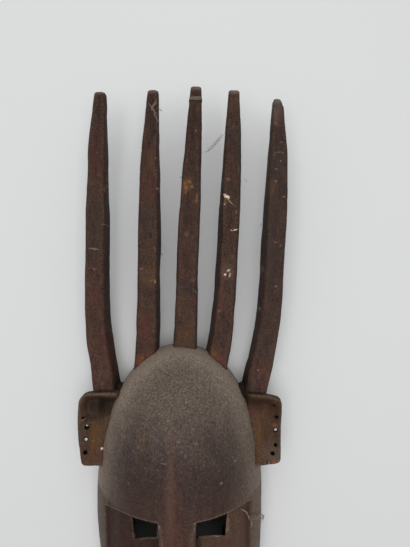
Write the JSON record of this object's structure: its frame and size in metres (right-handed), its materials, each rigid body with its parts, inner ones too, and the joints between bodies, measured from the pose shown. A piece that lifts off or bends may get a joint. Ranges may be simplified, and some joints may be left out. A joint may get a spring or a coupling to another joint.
{
  "type": "ntomo mask",
  "caption": "Carved wooden mask, hollow behind, with a domed forehead over a stepped brow, a long straight nose, flat ear plates and tall horns rising from the crown.",
  "frame": {"origin": "under the middle of the bounding box, in the plane of the back rim that the mask lies on", "axes": "+Y from the chin to the horn tips, +Z out of the face, +X to the right of the face as it is looked at"},
  "size_m": [0.2098, 0.6368, 0.111],
  "materials": {
    "carved_wood": "dark reddish brown, worn and dusty, nearly matt",
    "lint": "thin pale threads of lint and cobweb caught on the wood"
  },
  "bodies": {
    "root": {"ntomo_mask": "carved_wood"}
  },
  "joints": []
}
